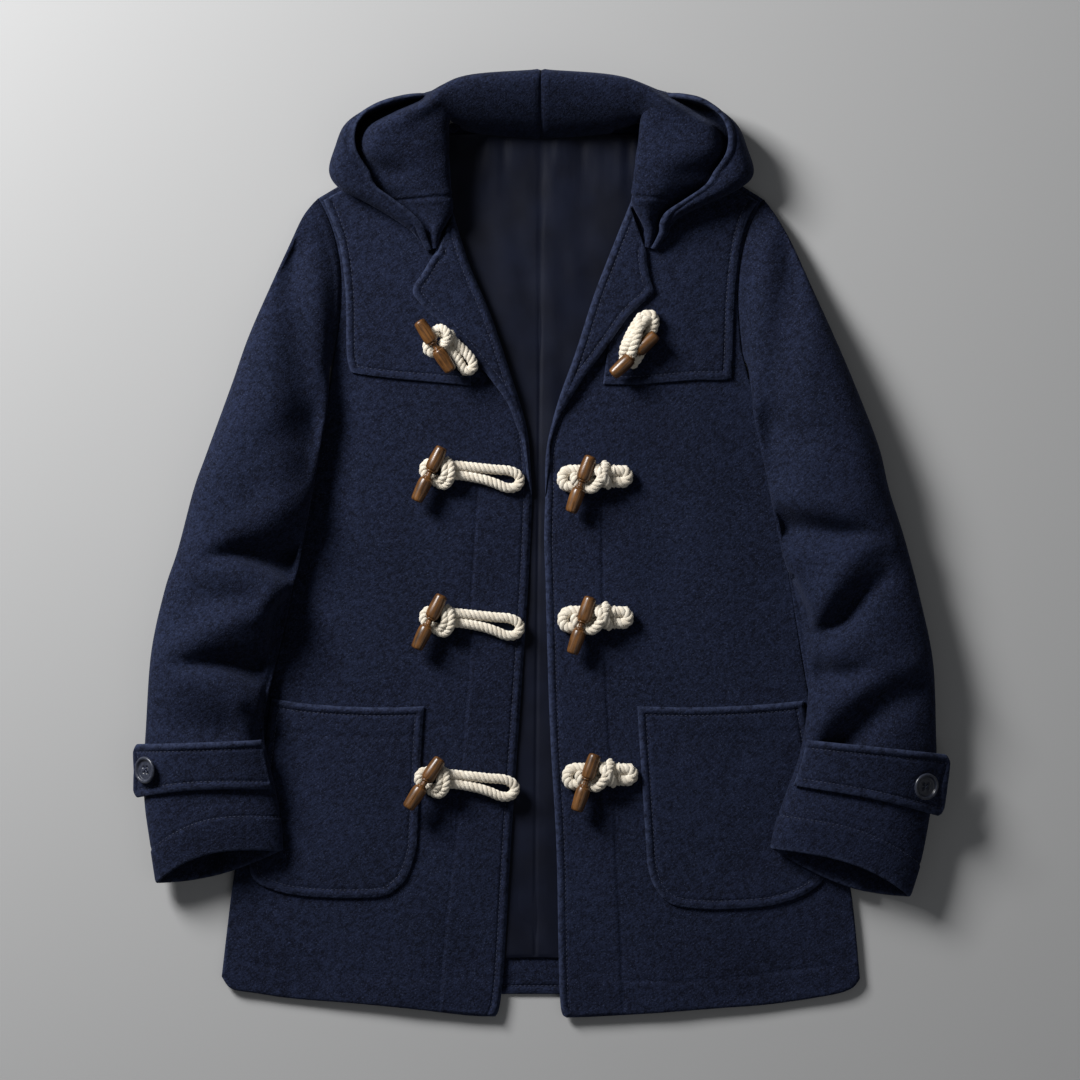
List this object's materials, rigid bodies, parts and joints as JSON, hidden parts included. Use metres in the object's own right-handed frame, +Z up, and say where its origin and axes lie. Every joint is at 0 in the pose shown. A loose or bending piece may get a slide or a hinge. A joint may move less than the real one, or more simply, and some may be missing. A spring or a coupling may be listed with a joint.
{
  "type": "hooded duffle coat laid flat, front open",
  "caption": "Thigh-length hooded wool duffle coat laid on its back, with rope and toggle closures, shoulder yokes, patch pockets and strapped cuffs.",
  "frame": {"origin": "on the surface that the coat lies on, under the centre of its bounding box", "axes": "+Z up from the surface, +Y along the coat towards the hood, +X towards the wearer's left"},
  "size_m": [0.7353, 0.8532, 0.0555],
  "materials": {
    "wool": "napped melton wool, dark navy, soft sheen at grazing angles",
    "lining": "fine plain-weave navy lining with a slight satin sheen",
    "rope": "cream three-strand twisted cotton rope, matt",
    "toggle": "turned brown wood under a clear semi-gloss varnish",
    "button": "dark navy four-hole button, polished"
  },
  "bodies": {
    "root": {"back_panel": "wool", "back_lining": "lining", "front_right": "wool", "yoke_right": "wool", "lapel_right": "wool", "pocket_right": "wool", "sleeve_upper_right": "wool", "sleeve_under_right": "wool", "cuff_strap_right": "wool", "hood_right": "wool", "hood_gusset_right": "wool", "cuff_button_right": "button", "rope_right_1": "rope", "toggle_right_1": "toggle", "rope_right_2": "rope", "toggle_right_2": "toggle", "rope_right_3": "rope", "toggle_right_3": "toggle", "rope_right_4": "rope", "toggle_right_4": "toggle", "front_left": "wool", "yoke_left": "wool", "lapel_left": "wool", "pocket_left": "wool", "sleeve_upper_left": "wool", "sleeve_under_left": "wool", "cuff_strap_left": "wool", "hood_left": "wool", "hood_gusset_left": "wool", "cuff_button_left": "button", "rope_left_1": "rope", "toggle_left_1": "toggle", "rope_left_2": "rope", "toggle_left_2": "toggle", "rope_left_3": "rope", "toggle_left_3": "toggle", "rope_left_4": "rope", "toggle_left_4": "toggle"}
  },
  "joints": []
}
